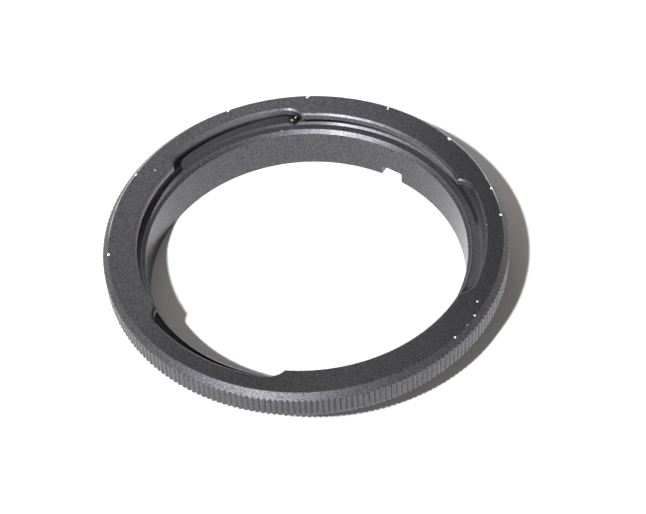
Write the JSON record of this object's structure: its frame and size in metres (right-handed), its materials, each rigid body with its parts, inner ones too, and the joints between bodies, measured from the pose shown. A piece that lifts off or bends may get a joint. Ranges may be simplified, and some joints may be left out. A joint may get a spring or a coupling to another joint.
{
  "type": "lens mount adapter",
  "caption": "Thin black adapter ring with a knurled rim: a lens bayonet with inward lugs in its top, a tube with outward bayonet lugs below that locks into a camera body.",
  "frame": {"origin": "on the optical axis, at the camera-side end of the tube, on which the ring stands", "axes": "+Z along the optical axis towards the lens; the picture looks along +Y from above, with +X to its right"},
  "size_m": [0.0624, 0.0624, 0.0099],
  "materials": {
    "black_anodised": "black satin anodised, turned, with bright nicks on the rim's edge",
    "blackened_steel": "blackened, worn bright at the slot"
  },
  "bodies": {
    "root": {"bayonet_ring": "black_anodised", "stop_screw": "blackened_steel"}
  },
  "joints": []
}
